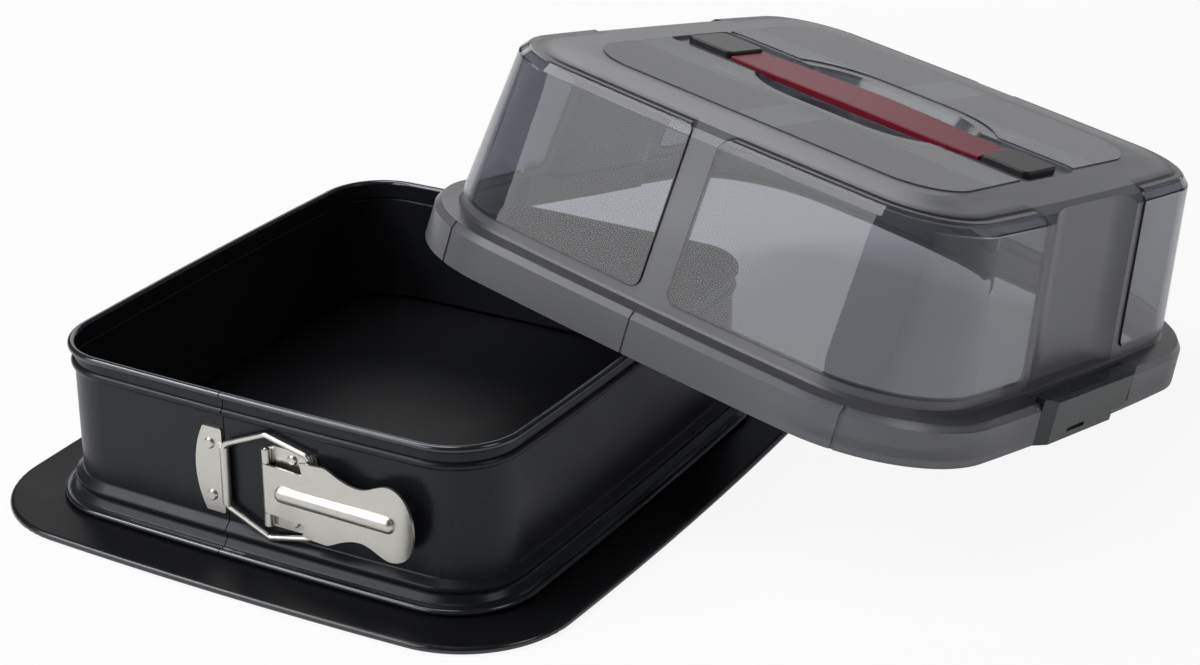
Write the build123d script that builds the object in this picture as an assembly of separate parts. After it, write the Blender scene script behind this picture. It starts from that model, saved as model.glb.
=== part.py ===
from build123d import *
import math
import os

# Springform pan with cover: a flanged base tray, a spring ring with a
# toggle latch, and a tall clear cover with a strap handle and two end clips.
# The cover leans on the rear right corner of the ring, as when it has just
# been lifted off.  Millimetres, +Z up, origin under the middle of the tray.
# The latch is on the -Y side.

os.makedirs("parts", exist_ok=True)

# Main sizes
ring_x = 224.0            # across the rolled rim, left to right
ring_y = 246.0            # across the rolled rim, front to back
ring_bow = 2.0            # outward bow of each straight side
ring_corner = 30.0        # corner radius at the rolled rim
rim_z = 76.5              # centre of the rolled rim
sheet = 0.8               # ring band thickness
slip = 0.3                # gap between parts that lift apart

tray_reach = 27.8         # tray edge beyond the rolled rim
tray_corner = 52.0
tray_bow = 4.8
tray_sheet = 1.0
tray_bead = 1.8           # radius of the rolled tray edge

cover_reach_x = 5.2       # cover skirt beyond the tray edge, at the ends
cover_reach_y = 7.0       # and along the sides
cover_bow = 4.6
cover_corner = 66.0
cover_wall = 2.2
cover_top = 102.6


def plan_arcs(half_x, half_y, bow, corner):
    """Eight tangent arcs of a rounded rectangle with bowed sides:
    centre x, centre y, radius, start angle, sweep angle."""
    big_x = (half_y ** 2 + bow ** 2) / (2 * bow)
    big_y = (half_x ** 2 + bow ** 2) / (2 * bow)
    cx = half_x + bow - big_x
    cy = half_y + bow - big_y
    reach_x = big_x - corner
    reach_y = big_y - corner
    span = math.hypot(cx, cy)
    along = (reach_x ** 2 - reach_y ** 2 + span ** 2) / (2 * span)
    away = math.sqrt(reach_x ** 2 - along ** 2)
    ux, uy = -cx / span, cy / span
    px = cx + ux * along - uy * away
    py = ux * away + uy * along
    if px < 0 or py < 0:
        px = cx + ux * along + uy * away
        py = -ux * away + uy * along
    a = math.degrees(math.atan2(py, px - cx))
    b = math.degrees(math.atan2(py - cy, px))
    return [
        (cx, 0, big_x, -a, 2 * a),
        (px, py, corner, a, b - a),
        (0, cy, big_y, b, 180 - 2 * b),
        (-px, py, corner, 180 - b, b - a),
        (-cx, 0, big_x, 180 - a, 2 * a),
        (-px, -py, corner, 180 + a, b - a),
        (0, -cy, big_y, 180 + b, 180 - 2 * b),
        (px, -py, corner, 360 - b, b - a),
    ]


def plan_face(arcs, out=0.0):
    """Flat face inside the plan, grown outward by out."""
    return make_face([CenterArc((x, y, 0), r + out, s, w) for x, y, r, s, w in arcs])


def around(section, arcs):
    """Carry a section (x is distance outward, y is height) round the plan."""
    parts = []
    for x, y, r, s, w in arcs:
        c, d = math.cos(math.radians(s)), math.sin(math.radians(s))
        seat = Plane(origin=(x + r * c, y + r * d, 0), x_dir=(c, d, 0), z_dir=(d, -c, 0))
        parts.append(revolve(seat * section, Axis((x, y, 0), (0, 0, 1)), w))
    return parts[0].fuse(*parts[1:]).clean()


def shift(points, away):
    """Move a line of points sideways, to its left, with mitred bends."""
    n = len(points)
    normals = []
    for (x0, y0), (x1, y1) in zip(points, points[1:]):
        length = math.hypot(x1 - x0, y1 - y0)
        normals.append((-(y1 - y0) / length, (x1 - x0) / length))
    moved = []
    for i, (x, y) in enumerate(points):
        a = normals[max(i - 1, 0)]
        b = normals[min(i, n - 2)]
        k = away / (1 + a[0] * b[0] + a[1] * b[1])
        moved.append((x + (a[0] + b[0]) * k, y + (a[1] + b[1]) * k))
    return moved


def strip(points, thick):
    """Bent sheet section of even thickness along a line of points."""
    left = shift(points, thick / 2)
    right = shift(points, -thick / 2)
    return make_face(Polyline(*left, *reversed(right), close=True))


def soften(sketch, inside, size):
    """Break those corners of a section that satisfy a test."""
    return chamfer([v for v in sketch.vertices() if inside(v.X, v.Y)], size)


def save(shape, name):
    shape.label = name
    export_step(shape, f"parts/{name}.step")


# Springform ring: one steel band, open at the seam, with a rolled rim, a
# stiffening bead, and a stepped-out skirt that drops round the tray platform.
ring_arcs = plan_arcs(ring_x / 2, ring_y / 2, ring_bow, ring_corner)
rim_roll = 1.7
wall_out = -(rim_roll - sheet)             # outer face of the band
wall_mid = wall_out - sheet / 2
wall_in = wall_out - sheet
bead_z = 68.4
bead_roll = 2.0
step_z = 16.4                              # where the wall starts to step out
crest_out = 2.4
skirt_out = 1.0
lip_out = 6.9
lip_roll = 1.5
foot_flat = 0.1                            # the rolled edge is flattened where it stands
flange_top = 2 * tray_bead - foot_flat
lip_z = flange_top + slip + lip_roll

band = strip([(wall_mid, rim_z), (wall_mid, step_z), (crest_out, 13.6), (crest_out, 12.4),
              (skirt_out, 11.0), (skirt_out, 9.6), (lip_out - 3.6, 6.6), (lip_out, lip_z)], sheet)
band = soften(band, lambda x, z: lip_z + 1.0 < z < rim_z - 1.0, 0.35)
bead_ring = Pos(wall_mid, bead_z) * (Circle(bead_roll) - Circle(bead_roll - sheet))
bead_ring = bead_ring & Pos(wall_mid + bead_roll, bead_z) * Rectangle(2 * bead_roll, 3 * bead_roll)
bead_gap = Pos(wall_mid - sheet / 2, bead_z) * Rectangle(2 * sheet, 2 * (bead_roll - sheet))
ring_section = band - bead_gap + bead_ring
ring_section = ring_section + Pos(0, rim_z) * Circle(rim_roll) + Pos(lip_out, lip_z) * Circle(lip_roll)
ring_body = around(ring_section, ring_arcs)

seam_x = -15.4
seam_gap = 0.5
front_y = -(ring_y / 2 + ring_bow + wall_out)      # outer face of the front wall
ring_top = rim_z + rim_roll
seam_cut = Pos(seam_x, -ring_y / 2, ring_top / 2) * Box(seam_gap, 40, 2 * ring_top)
ring_body = ring_body - seam_cut
# The band ends overlap: a tongue fixed to the right end slides behind the left.
tongue_gap = 0.12
tongue_sheet = 0.6
tongue_in = wall_in - tongue_gap - tongue_sheet
tongue_left, tongue_right = -34.0, -4.0
tongue_low, tongue_high = step_z + 1.6, bead_z - bead_roll - 1.4
tongue_ring = around(Pos((wall_in + tongue_in) / 2, (tongue_low + tongue_high) / 2)
                     * Rectangle(wall_in - tongue_in, tongue_high - tongue_low), ring_arcs)
tongue_skin = around(Pos(wall_in - tongue_gap / 2 + 0.01, (tongue_low + tongue_high) / 2)
                     * Rectangle(tongue_gap + 0.02, tongue_high - tongue_low + 1), ring_arcs)
across_wall = 30.0                         # block that takes in the whole front wall
tongue_span = Pos((tongue_left + tongue_right) / 2, -ring_y / 2, rim_z / 2) \
    * Box(tongue_right - tongue_left, across_wall, 2 * rim_z)
slack_span = Pos((tongue_left - 5 + seam_x + seam_gap / 2) / 2, -ring_y / 2, rim_z / 2) \
    * Box(seam_x + seam_gap / 2 - tongue_left + 5, across_wall, 2 * rim_z)
tongue = (tongue_ring & tongue_span) - (tongue_skin & slack_span)
ring_body = ring_body + tongue
save(ring_body, "springform_ring")

# Base tray: pressed sheet with a raised platform that plugs the ring, a wide
# serving flange and a rolled outer edge that it stands on.
tray_arcs = plan_arcs(ring_x / 2 + tray_reach, ring_y / 2 + tray_reach, tray_bow, tray_corner)
floor_z = 15.0
platform_out = wall_in + 0.9               # platform edge, under the ring's step
platform_round = 1.6
edge_in = -tray_bead
flange = extrude(plan_face(tray_arcs, edge_in), flange_top) \
    - extrude(plan_face(tray_arcs, edge_in), flange_top - tray_sheet) \
    - extrude(plan_face(ring_arcs, platform_out - tray_sheet), 2 * flange_top)
bead_section = Pos(edge_in, tray_bead - foot_flat) * Circle(tray_bead)
bead = around(bead_section & Pos(edge_in, tray_bead) * Rectangle(4 * tray_bead, 2 * tray_bead), tray_arcs)
platform = extrude(plan_face(ring_arcs, platform_out), floor_z)
platform = fillet(platform.faces().sort_by(Axis.Z)[-1].edges(), platform_round)
hollow = extrude(plan_face(ring_arcs, platform_out - tray_sheet), floor_z - tray_sheet)
hollow = fillet(hollow.faces().sort_by(Axis.Z)[-1].edges(), platform_round - tray_sheet)
platform = platform - hollow \
    - extrude(plan_face(ring_arcs, platform_out + 1), flange_top - tray_sheet)
tray = platform + flange + bead
save(tray, "base_tray")

# Latch: keeper riveted left of the seam, bracket riveted right of it.
latch_z = 40.3
wire = 1.3                                # bail wire and pin radius
hole = 1.37
pivot_y = front_y - 2.7
link = 21.9                               # keeper to pivot, and pivot to bail bar
keeper_x = -13.7
pivot_x = keeper_x + link
bar_x = pivot_x + link
plate = 1.0
front_mid = front_y - plate / 2


def upright(outline, y_from, y_to):
    """Thick plate standing in the XZ plane between two Y values."""
    return extrude(Plane((0, max(y_from, y_to), 0), x_dir=(1, 0, 0), z_dir=(0, -1, 0)) * outline,
                   abs(y_to - y_from))


def post(x, y, z_low, z_high, radius):
    return Pos(x, y, (z_low + z_high) / 2) * Cylinder(radius, z_high - z_low)


plate_shell = around(Pos(wall_out + plate / 2, latch_z) * Rectangle(plate, 60), ring_arcs)
curl = 2.1
keeper_half = 20.0
keeper_edge = make_face([
    Line((seam_x - 1.0, latch_z + keeper_half), (seam_x - 10.8, latch_z + keeper_half)),
    ThreePointArc((seam_x - 10.8, latch_z + keeper_half), (seam_x - 15.6, latch_z),
                  (seam_x - 10.8, latch_z - keeper_half)),
    Line((seam_x - 10.8, latch_z - keeper_half), (seam_x - 1.0, latch_z - keeper_half)),
    Line((seam_x - 1.0, latch_z - keeper_half), (seam_x - 1.0, latch_z + keeper_half)),
])
keeper_edge = fillet(keeper_edge.vertices(), 1.2)
keeper_low, keeper_high = latch_z - 13.4, latch_z + 13.4
keeper = upright(keeper_edge, front_y + 3, front_y - 3) & plate_shell
neck_span = Pos((seam_x - 3 + keeper_x) / 2, 0, latch_z) \
    * Box(keeper_x - seam_x + 3, 400, keeper_high - keeper_low)
neck_plate = Pos((seam_x - 3 + keeper_x) / 2, pivot_y + curl - plate / 2, latch_z) \
    * Box(keeper_x - seam_x + 3, plate, keeper_high - keeper_low)
keeper = keeper + neck_plate + post(keeper_x, pivot_y, keeper_low, keeper_high, curl)
keeper = keeper - post(keeper_x, pivot_y, keeper_low - 1, keeper_high + 1, hole)
save(keeper, "latch_keeper")


def rivet(x, z, seat_y, head, rise):
    """Domed head on a plate, looking along -Y."""
    dome = Cylinder(head, rise)
    dome = chamfer(dome.edges().sort_by(Axis.Z)[-1], rise * 0.6)
    return Pos(x, seat_y - rise / 2, z) * Rot(90, 0, 0) * dome


rivet_head = 2.5
rivet_rise = 1.0
keeper_rivet_x = seam_x - 7.4
keeper_plate_y = front_y - plate + 0.03
keeper_rivets = Compound([rivet(keeper_rivet_x, latch_z + k * 12.3, keeper_plate_y, rivet_head, rivet_rise)
                          for k in (-1, 1)])
save(keeper_rivets, "keeper_rivets")

bracket_half = 19.0
bracket_left = pivot_x
bracket_right = 33.0
lever_barrel_half = 11.4
bracket_barrel_gap = 0.35
bracket_edge = Pos((bracket_left + bracket_right) / 2, latch_z) \
    * Rectangle(bracket_right - bracket_left, 2 * bracket_half)
bracket_edge = fillet(bracket_edge.vertices(), 2.0)
bracket_gap = Pos(bracket_left, latch_z) \
    * Rectangle(2 * (curl + 1.2), 2 * (lever_barrel_half + bracket_barrel_gap))
bracket = upright(bracket_edge - bracket_gap, front_y + 3, front_y - 3) & plate_shell
for side in (-1, 1):
    low = latch_z + side * (lever_barrel_half + bracket_barrel_gap)
    high = latch_z + side * (bracket_half - 1.0)
    bracket = bracket + post(pivot_x, pivot_y, min(low, high), max(low, high), curl)
    bracket = bracket + Pos(pivot_x + 1.4, pivot_y + curl - plate / 2, (low + high) / 2) \
        * Box(2.8, plate, abs(high - low))
bracket = bracket - post(pivot_x, pivot_y, latch_z - 30, latch_z + 30, hole)
save(bracket, "latch_bracket")

bracket_rivet_x = 20.5
bracket_rivets = Compound([rivet(bracket_rivet_x, latch_z + k * 14.6, keeper_plate_y,
                                 rivet_head - 0.2, rivet_rise) for k in (-1, 1)])
save(bracket_rivets, "bracket_rivets")

pin_half = bracket_half - 0.6
pin = post(pivot_x, pivot_y, latch_z - pin_half, latch_z + pin_half, wire)
pin = chamfer(pin.edges().filter_by(GeomType.CIRCLE), 0.5)
save(pin, "lever_pivot_pin")

# Latch lever: pressed plate curled round the pin, a waisted outline with two
# wings that hold the bail, a long rib, and a tip turned out for the thumb.
lever_sheet = 1.2
lever_tip_x = 85.5
lever_face = pivot_y - 1.6                 # plate centre beside the barrel
lever_flat = pivot_y - 2.9                 # plate centre over the bail bar
lever_line = [(pivot_x + 1.0, lever_face), (pivot_x + 9, lever_face - 0.5), (bar_x - 4, lever_flat),
              (bar_x + 12, lever_flat - 0.3), (lever_tip_x - 14, lever_flat - 0.6),
              (lever_tip_x - 5, lever_flat - 1.9), (lever_tip_x + 1.5, lever_flat - 5.0)]


def bent_plate(line, back, front, half_height):
    """Smoothly bent plate standing on edge, between two faces of one line."""
    rear, face = shift(line, -back), shift(line, -front)
    outline = [Spline(*rear), Line(rear[-1], face[-1]), Spline(*reversed(face)), Line(face[0], rear[0])]
    return Pos(0, 0, latch_z - half_height) * extrude(make_face(outline), 2 * half_height)


lever_tall = 20.0                          # half height before the outline is cut
lever_block = bent_plate(lever_line, -lever_sheet / 2, lever_sheet / 2, lever_tall)
neck, wing, shoulder, waist, paddle = 11.4, 17.2, 18.0, 12.5, 17.0   # half widths along the lever
upper = [(pivot_x - 2.4, neck), (bar_x - 1.2, neck), (bar_x - 2.6, wing), (bar_x + 9.5, shoulder)]
half_edge = [
    Line(upper[0], upper[1]),
    Line(upper[1], upper[2]),
    Line(upper[2], upper[3]),
    Spline(upper[3], (bar_x + 15, shoulder - 2.3), (bar_x + 22, waist + 0.5), (bar_x + 28, waist),
           (bar_x + 34, waist + 2.0), (bar_x + 41, paddle), (bar_x + 48, paddle - 1.8), (bar_x + 53, 10.4),
           (lever_tip_x + 0.9, 0), tangents=((1, -0.2), (0, -1))),
]
lever_half = make_face(half_edge + [Line((lever_tip_x + 0.9, 0), (pivot_x - 2.4, 0)),
                                    Line((pivot_x - 2.4, 0), upper[0])])
lever_edge = lever_half + mirror(lever_half, Plane.XZ)
lever_back, lever_front = pivot_y + 6.0, pivot_y - 14.0    # depth that takes in the bent plate
lever = lever_block & upright(Pos(0, latch_z) * lever_edge, lever_back, lever_front)
barrel_low, barrel_high = latch_z - lever_barrel_half, latch_z + lever_barrel_half
lever = lever + post(pivot_x, pivot_y, barrel_low, barrel_high, curl)
rib_start, rib_reach = 7.0, 44.0           # from the pivot, and past the bail bar
rib_left, rib_right = pivot_x + rib_start, bar_x + rib_reach
rib_wide = 5.0
rib_edge = Pos((rib_left + rib_right) / 2, latch_z) * SlotOverall(rib_right - rib_left, rib_wide)
rib_rise = 2.0
rib_round = 1.6
rib_body = bent_plate(lever_line, 0, lever_sheet / 2 + rib_rise, lever_tall) \
    & upright(rib_edge, lever_back, lever_front)
rib_body = fillet(rib_body.faces().sort_by(Axis.Y)[0].edges(), rib_round)
lever = lever + rib_body
lever = lever - post(pivot_x, pivot_y, barrel_low - 1, barrel_high + 1, hole)
save(lever, "latch_lever")

# Bail: closed wire link from the keeper curl to behind the lever wings.
bail_end = 14.6
bail_wide = 24.2
bail_bar = 19.2
bail_path = FilletPolyline(
    (0, -bail_end), (link, -bail_wide), (2 * link, -bail_bar), (2 * link, bail_bar), (link, bail_wide),
    (0, bail_end), close=True, radius=2.6)
bail_plane = Plane((keeper_x, pivot_y, latch_z), x_dir=(1, 0, 0), z_dir=(0, -1, 0))
bail_path = bail_plane * bail_path
bail_start = bail_path @ 0
bail = sweep(Plane(bail_start, z_dir=bail_path % 0) * Circle(wire), path=bail_path)
save(bail, "latch_bail")

# Cover: one clear moulding with drafted walls, a stepped skirt that drops over
# the tray edge, four raised window panels that wrap the corners, recessed end
# bands over the clips, and a handle channel with a finger well.
cover_arcs = plan_arcs(ring_x / 2 + tray_reach + cover_reach_x, ring_y / 2 + tray_reach + cover_reach_y,
                       cover_bow, cover_corner)
cover_half_x = ring_x / 2 + tray_reach + cover_reach_x + cover_bow
foot_out, foot_z = -12.6, 21.0             # foot of the body wall, above the skirt
shoulder_out, shoulder_z = -23.2, cover_top - 7.4
core_out = -52.0
wall_line = [(0.0, 0.0), (-0.9, 16.0), (-3.2, 19.2), (foot_out + 1.2, 19.8), (foot_out, foot_z),
             (shoulder_out, shoulder_z), (shoulder_out - 3.2, cover_top - 4.0),
             (shoulder_out - 8.5, cover_top - 2.0), (core_out + 5.8, cover_top - 0.5), (core_out, cover_top)]
draft = (shoulder_out - foot_out) / (shoulder_z - foot_z)


def wall_at(z):
    return foot_out + draft * (z - foot_z)


def filled(line, low):
    """Everything inside a wall line, from below up to its last point."""
    top = line[-1][1]
    inside = core_out - 1
    section = make_face(Polyline((inside, low), (line[0][0], low), *line, (inside, top), close=True))
    core = Pos(0, 0, low) * extrude(plan_face(cover_arcs, core_out), top - low)
    return around(section, cover_arcs) + core


def both_ends(shape):
    return shape + mirror(shape, Plane.YZ)


def both_sides(shape):
    return shape + mirror(shape, Plane.XZ)


inner_line = shift(wall_line, cover_wall)
inner_line[-1] = (core_out, cover_top - cover_wall)
inner_line[0] = (-cover_wall, 0.0)
skirt_open = -2.0                          # cuts run on below the skirt
outer_body = filled([(0.0, 0.01)] + wall_line[1:], 0.0)
inner_body = filled(inner_line, skirt_open)

band_flat, band_deep, band_curve = 26.0, 4.5, 40.3   # flat floor, depth, radius of the sides
clip_half = 49.5
clip_slot = clip_half + slip
clip_back = cover_half_x - 9.1             # back wall of the clip bay
band_top = cover_top + 12


def end_band(extra):
    """Shallow trough down one end, its sides rising in long curves."""
    low = foot_z - extra
    wall_x = cover_half_x + wall_at(low)
    middle_x = wall_x - band_deep + band_curve
    reach = band_curve + extra
    turn = math.degrees(math.acos((middle_x - wall_x - 1.5) / reach))
    far = CenterArc((middle_x, band_flat), reach, 180 - turn, turn)
    near = CenterArc((middle_x, -band_flat), reach, 180, turn)
    outer = wall_x + 30
    edge = [near, Line(near @ 1, (outer, (near @ 1).Y)), Line((outer, (near @ 1).Y), (outer, (far @ 0).Y)),
            Line((outer, (far @ 0).Y), far @ 0), far, Line(far @ 1, near @ 0)]
    rise = band_top - low
    return extrude(Pos(0, 0, low) * make_face(edge), rise * math.hypot(1, draft), dir=(draft, 0, 1))


def clip_bay(extra):
    low, high = -10.0, foot_z + 0.5
    return Pos((clip_back - extra + cover_half_x + 20) / 2, 0, (low + high) / 2) \
        * Box(cover_half_x + 20 - clip_back + extra, 2 * (clip_slot + extra), high - low)


channel_deep, channel_half, channel_end = 1.8, 26.0, 99.0
well_deep = 14.0
mouth_x, mouth_y, mouth_corner = 56.0, 43.0, 38.0    # half sizes of the well's mouth
base_x, base_y, base_corner = 46.0, 31.0, 27.0


def handle_bay(extra):
    deep = channel_deep + extra
    channel = Pos(0, 0, cover_top - deep) * extrude(
        RectangleRounded(2 * (channel_end + extra), 2 * (channel_half + extra), 4 + extra), deep + 5)
    mouth = Pos(0, 0, cover_top + 1) \
        * RectangleRounded(2 * (mouth_x + extra), 2 * (mouth_y + extra), mouth_corner + extra)
    base = Pos(0, 0, cover_top - well_deep - extra) \
        * RectangleRounded(2 * (base_x + extra), 2 * (base_y + extra), base_corner + extra)
    return channel + loft([mouth, base])


bays = both_ends(end_band(0) + clip_bay(0)) + handle_bay(0)
inner_bays = both_ends(end_band(cover_wall) + clip_bay(cover_wall)) + handle_bay(cover_wall)
rest_step = around(Pos(-5.8, 3.4) * Rectangle(7.8, 1.6), cover_arcs)
cover = (outer_body - bays) - (inner_body - inner_bays) + (rest_step - both_ends(clip_bay(0)))
bay_foot = 2.0                             # the bay's back wall stops short of the skirt's edge
cover = cover - both_ends(Pos(clip_back, 0, 0) * Box(8, 2 * (clip_slot + cover_wall), 2 * bay_foot))
tab_from, tab_top = 27.0, 4.0              # the skirt runs on under one end of each clip
tab = around(Pos(-cover_wall / 2, tab_top / 2) * Rectangle(cover_wall, tab_top), cover_arcs) \
    & Pos(cover_half_x, (tab_from + clip_slot + 1) / 2, 0) * Box(40, clip_slot + 1 - tab_from, 40)
cover = cover + tab + Rot(0, 0, 180) * tab

# Raised window panels, one round each corner.
panel_rise = 0.9
window_low, window_high, window_corner = 25.4, 99.9, 5.0
panel_line = [(wall_at(window_low), window_low)] + wall_line[5:8] + [(shoulder_out - 10.5, cover_top - 1.8)]
panel_root = 0.4                           # the panels reach this far into the wall
panel_face = make_face(Polyline(*shift(panel_line, -panel_rise), *reversed(shift(panel_line, panel_root)),
                                close=True))
pillar_half = 7.5                          # half of the bare strip between two windows
panel_end = 51.0                           # where the windows stop on the end walls
window_mid, window_tall = (window_low + window_high) / 2, window_high - window_low
side_prism = extrude(Plane.XZ * Pos(pillar_half + 100, window_mid)
                     * RectangleRounded(200, window_tall, window_corner), 400, both=True)
end_prism = extrude(Plane.YZ * Pos(panel_end + 100, window_mid)
                    * RectangleRounded(200, window_tall, window_corner), 400)
panel = around(panel_face, cover_arcs) & side_prism & end_prism
cover = cover + both_sides(both_ends(panel))

# Raised clear panels on the roof, either side of the handle.
roof_half_x, roof_half_y, roof_corner = 97.0, 103.0, 28.0
roof_rim, well_rim = 3.0, 7.0              # bare strips beside the channel and round the well
roof_panel = RectangleRounded(2 * roof_half_x, 2 * roof_half_y, roof_corner) \
    - RectangleRounded(2 * channel_end + 5, 2 * (channel_half + roof_rim), 10) \
    - RectangleRounded(2 * (mouth_x + well_rim), 2 * (mouth_y + well_rim), mouth_corner + well_rim)
roof_rise = 0.6
cover = cover + Pos(0, 0, cover_top - 1.0) * extrude(roof_panel, 1.0 + roof_rise)

# Fine split lines in the skirt.
nick, nick_x = 1.6, 106.0
nick_skin = around(make_face(Polyline((1, -1), (1, 22), (-3.6, 22), (-3.6, 18.2), (-1.5, 15.6), (-0.7, 0.0),
                                      (-0.7, -1), close=True)), cover_arcs)
nicks = nick_skin & (Box(nick, 400, 60) + Pos(nick_x, 0, 0) * Box(nick, 400, 60)
                     + Pos(-nick_x, 0, 0) * Box(nick, 400, 60))
cover = cover - nicks

# Holes for the clip pins and the handle stems.
clip_pin_x, clip_pin_z = cover_half_x - 3.6, 16.5
clip_pin = 1.5
pin_fit, rod_fit, stem_fit = 0.08, 0.05, 0.1   # rod in clip, rod in cover, stem in roof
pin_reach = clip_slot + cover_wall + 0.8
stem_x, stem_y = 91.4, 9.0
stem = 1.9
rod_place = Pos(clip_pin_x, 0, clip_pin_z) * Rot(90, 0, 0)
cover = cover - both_ends(rod_place * Cylinder(clip_pin + rod_fit, 2 * pin_reach + 2))
for sx in (-1, 1):
    for sy in (-1, 1):
        cover = cover - Pos(sx * stem_x, sy * stem_y, cover_top) * Cylinder(stem + stem_fit, 20)

# Where the cover leans: its place and turn on the pan.
lean = Location((129.0, 148.7, 47.43), (-10.282, 10.062, -6.0))
save(lean * cover, "cover_shell")

# Handle: a flat strap whose wider and thicker middle bridges the finger well,
# held down at each end by a rounded pad with two stems that snap through the roof.
channel_floor = cover_top - channel_deep
block_left, block_right = 69.2, 94.6       # the right pad, from its inner to its outer end
block_half_y = 15.6
block_top = channel_floor + 3.5
strap_gap = 0.4
strap_shoulder = block_left - strap_gap    # the strap narrows where it enters the pads
strap_end = 88.0
strap_half, strap_mid_half, tongue_half = 15.4, 19.0, 11.0
strap_under = channel_floor + 0.2
strap_over = channel_floor + 1.9
grip_rise, grip_drop = 0.9, 0.9
grip_half = 46.0
strap_top = Spline((-strap_end, strap_over), (-grip_half - 12, strap_over), (0, strap_over + grip_rise),
                   (grip_half + 12, strap_over), (strap_end, strap_over), tangents=((1, 0), (1, 0)))
strap_base = Polyline((strap_end, strap_over), (strap_end, strap_under), (grip_half + 4, strap_under),
                      (grip_half, strap_under - grip_drop), (-grip_half, strap_under - grip_drop),
                      (-grip_half - 4, strap_under), (-strap_end, strap_under), (-strap_end, strap_over))
grip = extrude(Plane.XZ * make_face([strap_top, *strap_base.edges()]), 2 * strap_mid_half, both=True)
strap_bow = ThreePointArc((-strap_shoulder, strap_half), (0, strap_mid_half), (strap_shoulder, strap_half))
strap_side = [strap_bow] \
    + Polyline((strap_shoulder, strap_half), (strap_shoulder, tongue_half), (strap_end, tongue_half),
               (strap_end, 0), (-strap_end, 0), (-strap_end, tongue_half), (-strap_shoulder, tongue_half),
               (-strap_shoulder, strap_half)).edges()
strap_plan = make_face(strap_side)
strap_plan = strap_plan + mirror(strap_plan, Plane.XZ)
grip = grip & Pos(0, 0, channel_floor - 10) * extrude(strap_plan, 30)
long_edges = [e for e in grip.edges() if e.length > 100 and abs(e.center().Y) > tongue_half + 1
              and e.center().Z > strap_over - 0.2]
grip = chamfer(long_edges, 0.6)
save(lean * grip, "handle_grip")

block = Pos((block_left + block_right) / 2, 0, channel_floor) \
    * extrude(RectangleRounded(block_right - block_left, 2 * block_half_y, 3.0), block_top - channel_floor)
block = fillet(block.faces().sort_by(Axis.Z)[-1].edges(), 0.9)
strap_fit = 0.1
pocket_high = strap_over + strap_fit - channel_floor
block = block - Pos(strap_end / 2, 0, channel_floor + pocket_high / 2) \
    * Box(strap_end + 2 * strap_fit, 2 * (tongue_half + strap_fit), pocket_high)
roof_under = channel_floor - cover_wall
barb_gap, barb, barb_long = 0.25, 2.5, 2.4
for sy in (-1, 1):
    block = block + Pos(stem_x, sy * stem_y, (roof_under - barb_long + channel_floor) / 2) \
        * Cylinder(stem, channel_floor - roof_under + barb_long)
    block = block + Pos(stem_x, sy * stem_y, roof_under - barb_gap - barb_long / 2) \
        * Cone(stem, barb, barb_long)
save(lean * block, "handle_end_right")
save(lean * (Rot(0, 0, 180) * block), "handle_end_left")

# End clips: bevelled blocks hinged in bays of the skirt; the hook along the
# lower edge catches the lower half of the rolled tray edge.
clip_top, clip_low = 21.4, -0.6
hook = 8.5
clip_face = cover_half_x + 2.2
clip_back_x = clip_pin_x - 2.0
clip_brow = [(clip_back_x, clip_top), (clip_face - 2.0, clip_top), (clip_face - 0.3, clip_top - 1.6)]
clip_section = make_face(Polyline(
    *clip_brow, (clip_face, clip_low), (clip_face - hook, clip_low), (clip_face - hook, clip_low + 0.6),
    (clip_face - 3.0, clip_low + 3.0), (clip_face - 2.7, clip_top - 4.0), (clip_face - 3.6, clip_top - 2.4),
    (clip_back_x, clip_top - 2.4), close=True))
clip_eye = 2.6                             # radius of the tube round the rod
clip_section = clip_section + Pos(clip_pin_x, clip_pin_z) * Circle(clip_eye)
clip = extrude(Plane.XZ * clip_section, clip_half, both=True)
cheek = make_face(Polyline(*clip_brow, (clip_face, clip_low), (clip_face - 5.0, clip_low),
                           (clip_back_x, clip_pin_z - 3), close=True))
cheek_half = 1.1
for cy in (-1, 0, 1):
    clip = clip + Pos(0, cy * (clip_half - cheek_half), 0) * extrude(Plane.XZ * cheek, cheek_half, both=True)
bevel_long, bevel_deep = 10.0, 3.4
bevel = make_face(Polyline((clip_face + 1, clip_half - bevel_long), (clip_face, clip_half - bevel_long),
                           (clip_face - bevel_deep, clip_half), (clip_face - bevel_deep, clip_half + 1),
                           (clip_face + 1, clip_half + 1), close=True))
clip = clip - both_sides(Pos(0, 0, clip_low - 5) * extrude(bevel, 40))
finger_slot = Pos(clip_face, -13, clip_low + 4.0) * Box(3.2, 18, 2.0)
step_top = tab_top + 0.4
corner_step = Pos(clip_face, (tab_from - 0.4 + clip_half + 5) / 2, step_top - 10) \
    * Box(40, clip_half + 5 - tab_from + 0.4, 20)
clip = clip - finger_slot - corner_step
clip = clip - rod_place * Cylinder(clip_pin + pin_fit, 3 * clip_half)
save(lean * clip, "clip_right")
save(lean * (Rot(0, 0, 180) * clip), "clip_left")
clip_rod = rod_place * Cylinder(clip_pin, 2 * pin_reach)
save(lean * clip_rod, "clip_pin_right")
save(lean * (Rot(0, 0, 180) * clip_rod), "clip_pin_left")
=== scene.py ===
import math
import bpy
from mathutils import Matrix, Vector


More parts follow.
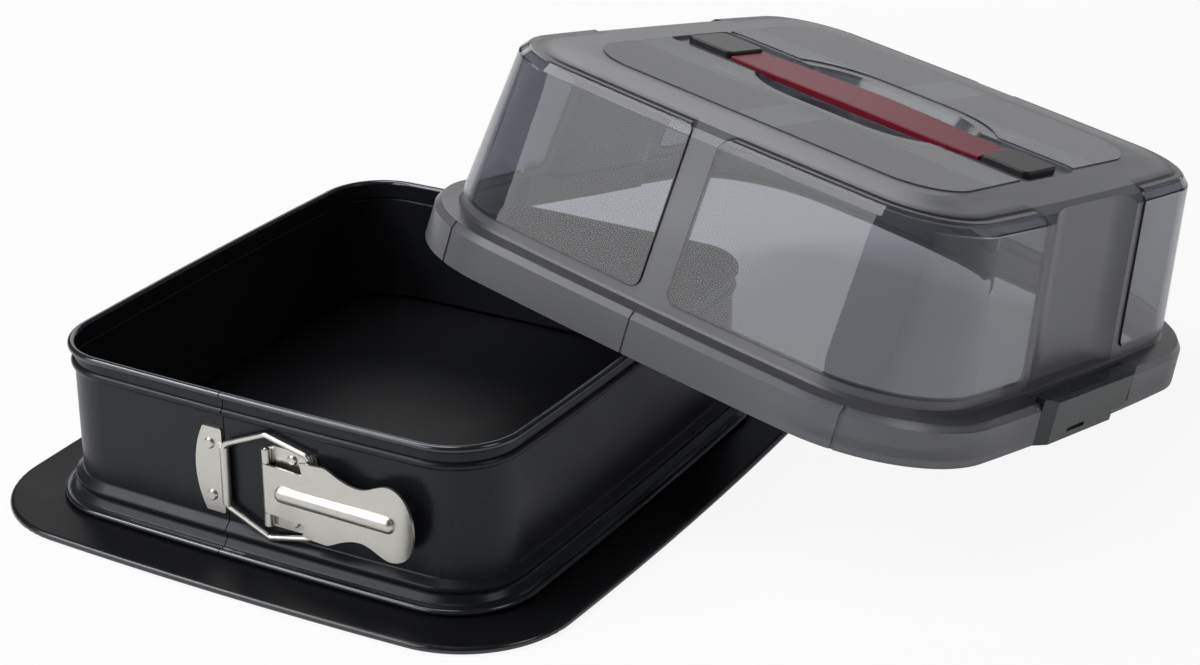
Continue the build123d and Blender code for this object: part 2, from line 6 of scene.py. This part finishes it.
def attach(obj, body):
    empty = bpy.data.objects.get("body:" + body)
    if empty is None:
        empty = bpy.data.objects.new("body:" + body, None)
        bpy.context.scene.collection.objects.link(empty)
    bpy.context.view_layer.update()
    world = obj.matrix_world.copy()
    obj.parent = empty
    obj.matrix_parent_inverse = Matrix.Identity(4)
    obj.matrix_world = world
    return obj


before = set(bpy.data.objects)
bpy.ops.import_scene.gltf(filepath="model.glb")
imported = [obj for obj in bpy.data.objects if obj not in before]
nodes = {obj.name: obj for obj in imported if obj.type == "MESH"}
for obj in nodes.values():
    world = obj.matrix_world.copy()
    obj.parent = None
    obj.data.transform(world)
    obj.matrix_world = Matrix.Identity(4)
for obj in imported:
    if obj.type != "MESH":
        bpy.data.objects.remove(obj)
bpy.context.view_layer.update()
bpy.ops.object.select_all(action="DESELECT")
mm = 0.001

# Camera: a long lens a metre and a quarter from the pan, at its front right,
# looking down on it by 24 degrees.
camera_place = (0.61353, -0.91180, 0.54362)
line_of_sight = Vector((-0.45109, 0.79619, -0.40324))
bpy.ops.object.camera_add(location=camera_place)
camera = bpy.context.object
camera.name = "camera"
camera.data.sensor_width = 36.0
camera.data.lens = 78.51
camera.data.clip_start = 0.05
camera.rotation_euler = line_of_sight.to_track_quat("-Z", "Y").to_euler()
bpy.context.scene.camera = camera


# Floor: one seamless sweep of pale matt paper. The camera sees it nearly white,
# mirror reflections and clear plastic see it a little lighter than its lamps
# make it, and the object's soft shadow stays in it.
def calc(tree, operation, *values):
    """One Math node; its values are sockets or numbers."""
    node = tree.nodes.new("ShaderNodeMath")
    node.operation = operation
    for i, value in enumerate(values):
        if isinstance(value, (int, float)):
            node.inputs[i].default_value = value
        else:
            tree.links.new(value, node.inputs[i])
    return node.outputs[0]


def show_mixed(tree, share, lit, seen, output_kind):
    """Give the tree its output: the lit shader, or by share the seen one."""
    mix = tree.nodes.new("ShaderNodeMixShader")
    tree.links.new(share, mix.inputs[0])
    tree.links.new(lit.outputs[0], mix.inputs[1])
    tree.links.new(seen.outputs[0], mix.inputs[2])
    output = tree.nodes.new(output_kind)
    tree.links.new(mix.outputs[0], output.inputs["Surface"])


floor_wide = 14.0
floor_drop = 0.4 * mm
paper_grey = 0.86
glow_shares = {"Is Camera Ray": 0.91, "Is Glossy Ray": 0.30, "Is Transmission Ray": 0.10}
bpy.ops.mesh.primitive_plane_add(size=floor_wide, location=(0, 0, -floor_drop))
floor = bpy.context.object
floor.name = "floor"
floor_finish = bpy.data.materials.new("white_sweep")
floor_finish.use_nodes = True
tree = floor_finish.node_tree
tree.nodes.clear()
paper = tree.nodes.new("ShaderNodeBsdfDiffuse")
paper.inputs["Color"].default_value = (paper_grey, paper_grey, paper_grey, 1)
glow = tree.nodes.new("ShaderNodeEmission")
glow.inputs["Strength"].default_value = 1.0
rays = tree.nodes.new("ShaderNodeLightPath")
whiter = 0.0
for ray, share in glow_shares.items():
    whiter = calc(tree, "MAXIMUM", whiter, calc(tree, "MULTIPLY", rays.outputs[ray], share))
show_mixed(tree, whiter, paper, glow, "ShaderNodeOutputMaterial")
floor.data.materials.append(floor_finish)

# Room: dim and slightly blue all round, so that the lamps do the lighting. The
# camera and the clear plastic see plain white there.
room_tint = (0.93, 0.95, 1.0, 1)
room_strength = 0.08
world = bpy.data.worlds.new("studio")
bpy.context.scene.world = world
world.use_nodes = True
tree = world.node_tree
tree.nodes.clear()
room = tree.nodes.new("ShaderNodeBackground")
room.inputs["Color"].default_value = room_tint
room.inputs["Strength"].default_value = room_strength
backdrop = tree.nodes.new("ShaderNodeBackground")
backdrop.inputs["Color"].default_value = (1, 1, 1, 1)
backdrop.inputs["Strength"].default_value = 1.0
rays = tree.nodes.new("ShaderNodeLightPath")
seen_white = calc(tree, "MAXIMUM", rays.outputs["Is Camera Ray"], rays.outputs["Is Transmission Ray"])
show_mixed(tree, seen_white, room, backdrop, "ShaderNodeOutputWorld")
bpy.context.scene.view_settings.view_transform = "Standard"

# Lamps: soft boxes high on the left, right, above and behind, a low one in front
# on the left that shines off the cover's near wall, and a low one behind that
# shines off its roof. Places, aims, widths and heights in metres, power in watts.
for name, place, aim, width, height, power in (
        ("key_lamp", (-1.5, -1.1, 1.9), (0.05, 0.05, 0.05), 0.7, 0.7, 15.0),
        ("fill_lamp", (1.9, -0.2, 1.4), (0.05, 0.05, 0.05), 0.8, 0.8, 5.0),
        ("top_lamp", (-0.6, -0.1, 2.1), (0.1, 0.1, 0.1), 1.2, 1.2, 20.0),
        ("back_lamp", (-1.0, 1.7, 1.05), (0.0, 0.0, 0.05), 1.8, 0.9, 7.0),
        ("wall_lamp", (-0.54, -0.95, 0.58), (0.12, 0.01, 0.13), 0.98, 0.80, 6.5),
        ("roof_lamp", (-0.36, 1.78, 0.34), (0.147, 0.167, 0.146), 1.4, 0.4, 0.9)):
    bpy.ops.object.light_add(type="AREA", location=place)
    lamp = bpy.context.object
    lamp.name = name
    lamp.data.shape = "RECTANGLE"
    lamp.data.size = width
    lamp.data.size_y = height
    lamp.data.energy = power
    lamp.visible_camera = False
    lamp.visible_transmission = False
    lamp.rotation_euler = (Vector(aim) - Vector(place)).to_track_quat("-Z", "Y").to_euler()
bpy.ops.object.select_all(action="DESELECT")


# Base tray: pressed steel with a wide flange and a rolled edge that it stands on,
# coated all over in charcoal non-stick. The ring drops round its raised platform.
def new_finish(name):
    """A material with one Principled shader, with its node tree and that shader."""
    finish = bpy.data.materials.new(name)
    finish.use_nodes = True
    tree = finish.node_tree
    return finish, tree, tree.nodes["Principled BSDF"]


def add_noise(tree, coords, size, detail=3.0, rough=0.6):
    """Noise whose grains are about size across, in the units of coords."""
    noise = tree.nodes.new("ShaderNodeTexNoise")
    noise.inputs["Scale"].default_value = 1.0 / size
    noise.inputs["Detail"].default_value = detail
    noise.inputs["Roughness"].default_value = rough
    tree.links.new(coords, noise.inputs["Vector"])
    return noise.outputs["Fac"]


def add_ramp(tree, value, low, high):
    """Ramp between two stops; each is the value and the grey or colour there."""
    ramp = tree.nodes.new("ShaderNodeValToRGB")
    for stop, (place, colour) in zip(ramp.color_ramp.elements, (low, high)):
        stop.position = place
        stop.color = (colour, colour, colour, 1) if isinstance(colour, float) else (*colour, 1)
    tree.links.new(value, ramp.inputs[0])
    return ramp.outputs["Color"]


def add_bump(tree, shader, height, depth, strength):
    """Bump of a real depth in metres on the shader's normal."""
    bump = tree.nodes.new("ShaderNodeBump")
    bump.inputs["Distance"].default_value = depth
    bump.inputs["Strength"].default_value = strength
    tree.links.new(height, bump.inputs["Height"])
    tree.links.new(bump.outputs[0], shader.inputs["Normal"])


def rise(tree, value, low, high):
    """0 below low and 1 above high, smooth between."""
    node = tree.nodes.new("ShaderNodeMapRange")
    node.interpolation_type = "SMOOTHSTEP"
    node.inputs["From Min"].default_value = low
    node.inputs["From Max"].default_value = high
    tree.links.new(value, node.inputs["Value"])
    return node.outputs["Result"]


def fade(tree, share, at_none, at_all):
    """A number that goes from at_none to at_all as share goes from 0 to 1."""
    return calc(tree, "ADD", at_none, calc(tree, "MULTIPLY", share, at_all - at_none))


def add_coating(name, dark, light, tint, smooth, rough, gloss, grain_depth, grain, foot_top, rim_foot):
    """Baked non-stick coating: fine flecks, a cloudy sheen, and a sharper gloss on
    rolled edges, which are what lies below foot_top and above rim_foot."""
    fleck_size = 0.45 * mm
    cloud_size = 34 * mm
    foot_blur = 0.4 * mm
    rim_blur = 0.6 * mm
    dark_at, light_at = 0.38, 0.70
    smooth_at, rough_at = 0.3, 0.7
    roll_gloss = 0.9
    roll_smoothing = 0.55
    finish, tree, shader = new_finish(name)
    coords = tree.nodes.new("ShaderNodeTexCoord").outputs["Object"]
    fleck = add_noise(tree, coords, fleck_size)
    cloud = add_noise(tree, coords, cloud_size, rough=0.55)
    tree.links.new(add_ramp(tree, fleck, (dark_at, dark), (light_at, light)), shader.inputs["Base Color"])
    shader.inputs["Specular Tint"].default_value = tint
    split = tree.nodes.new("ShaderNodeSeparateXYZ")
    tree.links.new(coords, split.inputs[0])
    z = split.outputs[2]
    roll = calc(tree, "SUBTRACT", 1.0, rise(tree, z, foot_top - foot_blur, foot_top))
    if rim_foot is not None:
        roll = calc(tree, "MAXIMUM", roll, rise(tree, z, rim_foot, rim_foot + rim_blur))
    sheen = add_ramp(tree, cloud, (smooth_at, smooth), (rough_at, rough))
    tree.links.new(calc(tree, "MULTIPLY", sheen, fade(tree, roll, 1.0, roll_smoothing)),
                   shader.inputs["Roughness"])
    tree.links.new(fade(tree, roll, gloss, roll_gloss), shader.inputs["Specular IOR Level"])
    add_bump(tree, shader, fleck, grain_depth, grain)
    return finish


def dress(finish, *names):
    """Put a finish on CAD nodes."""
    for name in names:
        slots = nodes[name].material_slots
        for slot in slots:
            slot.material = finish
        if not slots:
            nodes[name].data.materials.append(finish)


# The tray and the ring carry the same coating. The tray's darker tone here is painted shade, and the
# ring's lighter tone below is painted light.
tray_coating = add_coating(
    "tray_coating", dark=(0.0050, 0.0052, 0.0060), light=(0.0078, 0.0081, 0.0094),
    tint=(0.92, 0.95, 1.0, 1), smooth=0.36, rough=0.43, gloss=0.12,
    grain_depth=0.010 * mm, grain=0.4, foot_top=3.3 * mm, rim_foot=None)
dress(tray_coating, "base_tray")

# Springform ring: one band of coated sheet, open at the front seam, with a
# rolled rim, a stiffening bead and a stepped skirt that sits round the tray.
# Painted light: this tone is lighter than the tray's, though the coating is the same.
ring_coating = add_coating(
    "nonstick_coating", dark=(0.0105, 0.0111, 0.0130), light=(0.0150, 0.0158, 0.0182),
    tint=(0.88, 0.93, 1.0, 1), smooth=0.25, rough=0.32, gloss=0.30,
    grain_depth=0.012 * mm, grain=0.5, foot_top=7.0 * mm, rim_foot=74.0 * mm)
dress(ring_coating, "springform_ring")


# Latch: keeper and bracket riveted either side of the seam, a wire bail and a
# pressed lever on its pin, all in stainless steel with fine drawing lines along
# the band. The clips' hinge rods are of the same steel.
def mix_colours(tree, share, first, second):
    """Mix of two colours by share; each is a socket or three numbers."""
    mix = tree.nodes.new("ShaderNodeMix")
    mix.data_type = "RGBA"
    tree.links.new(share, mix.inputs[0])
    for colour, socket in ((first, mix.inputs[6]), (second, mix.inputs[7])):
        if isinstance(colour, tuple):
            socket.default_value = (*colour, 1)
        else:
            tree.links.new(colour, socket)
    return mix.outputs[2]


steel_dark = (0.54, 0.525, 0.49)
steel_light = (0.70, 0.685, 0.645)
line_size = 0.30 * mm
line_stretch = (0.06, 0.06, 1.0)
line_depth = 0.01 * mm
smudge_size = 9 * mm
steel, tree, shader = new_finish("latch_steel")
coords = tree.nodes.new("ShaderNodeTexCoord").outputs["Object"]
drawn = tree.nodes.new("ShaderNodeMapping")
drawn.inputs["Scale"].default_value = line_stretch
tree.links.new(coords, drawn.inputs["Vector"])
lines = add_noise(tree, drawn.outputs[0], line_size, detail=4.0)
smudge = add_noise(tree, coords, smudge_size, rough=0.5)
tree.links.new(mix_colours(tree, lines, steel_dark, steel_light), shader.inputs["Base Color"])
tree.links.new(add_ramp(tree, smudge, (0.3, 0.28), (0.7, 0.36)), shader.inputs["Roughness"])
shader.inputs["Metallic"].default_value = 1.0
add_bump(tree, shader, lines, line_depth, 0.6)
dress(steel, "latch_keeper", "keeper_rivets", "latch_bracket", "bracket_rivets", "lever_pivot_pin",
      "latch_lever", "latch_bail", "clip_pin_left", "clip_pin_right")

# Lever rib: the broad stiffening rib pressed up from the lever's own sheet, the
# same stainless steel, in one with the lever and turning with it.
rib_radius = 3.9 * mm
rib_long = 60.4 * mm
rib_x = 44.6 * mm
rib_y = -130.2 * mm
rib_z = 40.3 * mm
rib_flat = 0.77
rib_end_round = 3.3 * mm
lever_lean = math.radians(-1.3)
bpy.ops.mesh.primitive_cylinder_add(
    vertices=40, radius=rib_radius, depth=rib_long, location=(rib_x, 0, rib_z),
    rotation=(0, math.radians(90), lever_lean))
rib = bpy.context.object
rib.name = "lever_rib"
bpy.ops.object.transform_apply(location=True, rotation=True, scale=True)
round_ends = rib.modifiers.new("round_ends", "BEVEL")
round_ends.width = rib_end_round
round_ends.segments = 6
round_ends.limit_method = "ANGLE"
bpy.ops.object.modifier_apply(modifier="round_ends")
bpy.ops.object.mode_set(mode="EDIT")
bpy.ops.mesh.select_all(action="SELECT")
bpy.ops.transform.resize(value=(1, rib_flat, 1), center_override=(0, 0, 0))
bpy.ops.transform.translate(value=(0, rib_y, 0))
bpy.ops.mesh.faces_shade_smooth()
bpy.ops.object.mode_set(mode="OBJECT")
rib.data.materials.append(steel)
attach(rib, "lever")
bpy.ops.object.select_all(action="DESELECT")

# Cover: one clear moulding in smoky grey plastic, which leans on the pan. Its
# frame has a fine satin grain, and the raised windows round the corners and the
# panels on the roof are polished clear, each with a fine dark line round it. A
# band of painted shade darkens the frame along the ledge where the wall meets the skirt.
cover_place = Vector((129.0, 148.7, 47.43)) * mm
cover_turn = (Matrix.Rotation(math.radians(-10.282), 3, "X")
              @ Matrix.Rotation(math.radians(10.062), 3, "Y")
              @ Matrix.Rotation(math.radians(-6.0), 3, "Z"))


def cover_coords(tree):
    """A point in the cover's own axes in millimetres, as if it stood upright."""
    coords = tree.nodes.new("ShaderNodeTexCoord").outputs["Object"]
    upright = tree.nodes.new("ShaderNodeMapping")
    upright.vector_type = "TEXTURE"
    upright.inputs["Location"].default_value = cover_place
    upright.inputs["Rotation"].default_value = cover_turn.to_euler("XYZ")
    upright.inputs["Scale"].default_value = (mm, mm, mm)
    tree.links.new(coords, upright.inputs["Vector"])
    return upright.outputs[0]


def between(tree, value, up_from, up_to, down_from, down_to):
    """1 where value is between the two rises, 0 outside them."""
    return calc(tree, "MULTIPLY", rise(tree, value, up_from, up_to),
                calc(tree, "SUBTRACT", 1.0, rise(tree, value, down_from, down_to)))


frame_tone = (0.226, 0.230, 0.256)
clear_tone = (0.335, 0.348, 0.385)
line_and_shade_tone = (0.025, 0.025, 0.030)
line_and_shade_strength = 0.92
frame_rough = (0.24, 0.29)
clear_rough = 0.02
frame_passes, clear_passes = 0.55, 0.94
# Where the windows start and end, in the cover's own millimetres.
pillar_half = 7.5
band_half = 51.0
window_foot, window_top = 25.4, 100.3
window_corner = 5.0
window_edge = (0.2, 0.9)
window_line_edge = (0.35, 0.85)
# The finger well, which is half clear, and the raised panels on the roof.
well_foot = (86.0, 88.0)
well_half_long, well_half_wide = 60.0, 47.0
well_clear = 0.55
panel_rise = (103.05, 103.15)
panel_line_edges = (102.62, 102.68, 103.02, 103.12)
# Painted shade: a darker band along the ledge where the wall meets the skirt.
ledge_edges = (18.7, 19.1, 20.7, 21.4)
ledge_shade_strength = 0.62
smoky, tree, shader = new_finish("smoky_cover")
place = cover_coords(tree)
split = tree.nodes.new("ShaderNodeSeparateXYZ")
tree.links.new(place, split.inputs[0])
along = calc(tree, "ABSOLUTE", split.outputs[0])
across = calc(tree, "ABSOLUTE", split.outputs[1])
z = split.outputs[2]
sideways = calc(tree, "MINIMUM", calc(tree, "SUBTRACT", along, pillar_half),
                calc(tree, "SUBTRACT", across, band_half))
upward = calc(tree, "MINIMUM", calc(tree, "SUBTRACT", z, window_foot),
              calc(tree, "SUBTRACT", window_top, z))
short_side = calc(tree, "MAXIMUM", calc(tree, "SUBTRACT", window_corner, sideways), 0.0)
short_up = calc(tree, "MAXIMUM", calc(tree, "SUBTRACT", window_corner, upward), 0.0)
from_corner = calc(tree, "SQRT", calc(tree, "ADD", calc(tree, "MULTIPLY", short_side, short_side),
                                      calc(tree, "MULTIPLY", short_up, short_up)))
window = calc(tree, "SUBTRACT", window_corner, from_corner)
in_well = calc(tree, "MULTIPLY", rise(tree, z, *well_foot),
               calc(tree, "MULTIPLY", calc(tree, "LESS_THAN", along, well_half_long),
                    calc(tree, "LESS_THAN", across, well_half_wide)))
on_roof = calc(tree, "MAXIMUM", rise(tree, z, *panel_rise),
               calc(tree, "MULTIPLY", in_well, well_clear))
clear = calc(tree, "MAXIMUM", rise(tree, window, *window_edge), on_roof)
from_edge = calc(tree, "ABSOLUTE", window)
window_line = calc(tree, "SUBTRACT", 1.0, rise(tree, from_edge, *window_line_edge))
panel_line = between(tree, z, *panel_line_edges)
# Painted shade on the ledge band, mixed with the same tone as the fine dark lines round the windows and
# panels, which are real.
ledge_shade = calc(tree, "MULTIPLY", between(tree, z, *ledge_edges), ledge_shade_strength)
lines_and_ledge_shade = calc(tree, "MAXIMUM", calc(tree, "MAXIMUM", window_line, panel_line), ledge_shade)
plain = mix_colours(tree, clear, frame_tone, clear_tone)
lined = mix_colours(tree, calc(tree, "MULTIPLY", lines_and_ledge_shade, line_and_shade_strength), plain, line_and_shade_tone)
tree.links.new(lined, shader.inputs["Base Color"])
satin = fade(tree, add_noise(tree, place, 0.9), *frame_rough)
frosted = calc(tree, "MULTIPLY", satin, calc(tree, "SUBTRACT", 1.0, clear))
tree.links.new(calc(tree, "ADD", clear_rough, frosted), shader.inputs["Roughness"])
tree.links.new(fade(tree, clear, frame_passes, clear_passes), shader.inputs["Transmission Weight"])
shader.inputs["IOR"].default_value = 1.52
dress(smoky, "cover_shell")


# Handle strap: one flat strip of tinted red plastic with a satin top, wider and
# thicker in the middle, where it bridges the finger well. The end blocks hold it.
def mould_plastic(name, grain_size, dark, light, rough):
    """Moulded plastic with a fine grain; dark and light are ramp stops over it, and
    rough is the roughness at none of it and at all of it."""
    finish, tree, shader = new_finish(name)
    grain = add_noise(tree, cover_coords(tree), grain_size)
    tree.links.new(add_ramp(tree, grain, dark, light), shader.inputs["Base Color"])
    tree.links.new(fade(tree, grain, *rough), shader.inputs["Roughness"])
    return finish, tree, shader, grain


red, tree, shader, grain = mould_plastic(
    "red_strap", grain_size=0.8, dark=(0.0, (0.215, 0.006, 0.026)),
    light=(1.0, (0.235, 0.007, 0.029)), rough=(0.34, 0.40))
shader.inputs["Transmission Weight"].default_value = 0.15
shader.inputs["Specular IOR Level"].default_value = 0.20
dress(red, "handle_grip")

# Handle end blocks: rounded pads of dark grey plastic with a fine satin grain. Each
# holds down one end of the strap, with two stems that snap through the cover's roof.
block, tree, shader, grain = mould_plastic(
    "dark_handle_block", grain_size=0.7, dark=(0.3, (0.010, 0.010, 0.012)),
    light=(0.7, (0.016, 0.016, 0.018)), rough=(0.30, 0.44))
add_bump(tree, shader, grain, 0.02 * mm, 0.5)
dress(block, "handle_end_left", "handle_end_right")

# End clips: bevelled blocks of dark tinted plastic. Each swings on a steel rod in a
# bay of the cover's skirt, and its hook catches the tray's rolled edge.
clip, tree, shader, grain = mould_plastic(
    "dark_clip", grain_size=0.8, dark=(0.3, (0.040, 0.047, 0.052)),
    light=(0.7, (0.047, 0.055, 0.060)), rough=(0.20, 0.32))
shader.inputs["Transmission Weight"].default_value = 0.25
dress(clip, "clip_left", "clip_right")
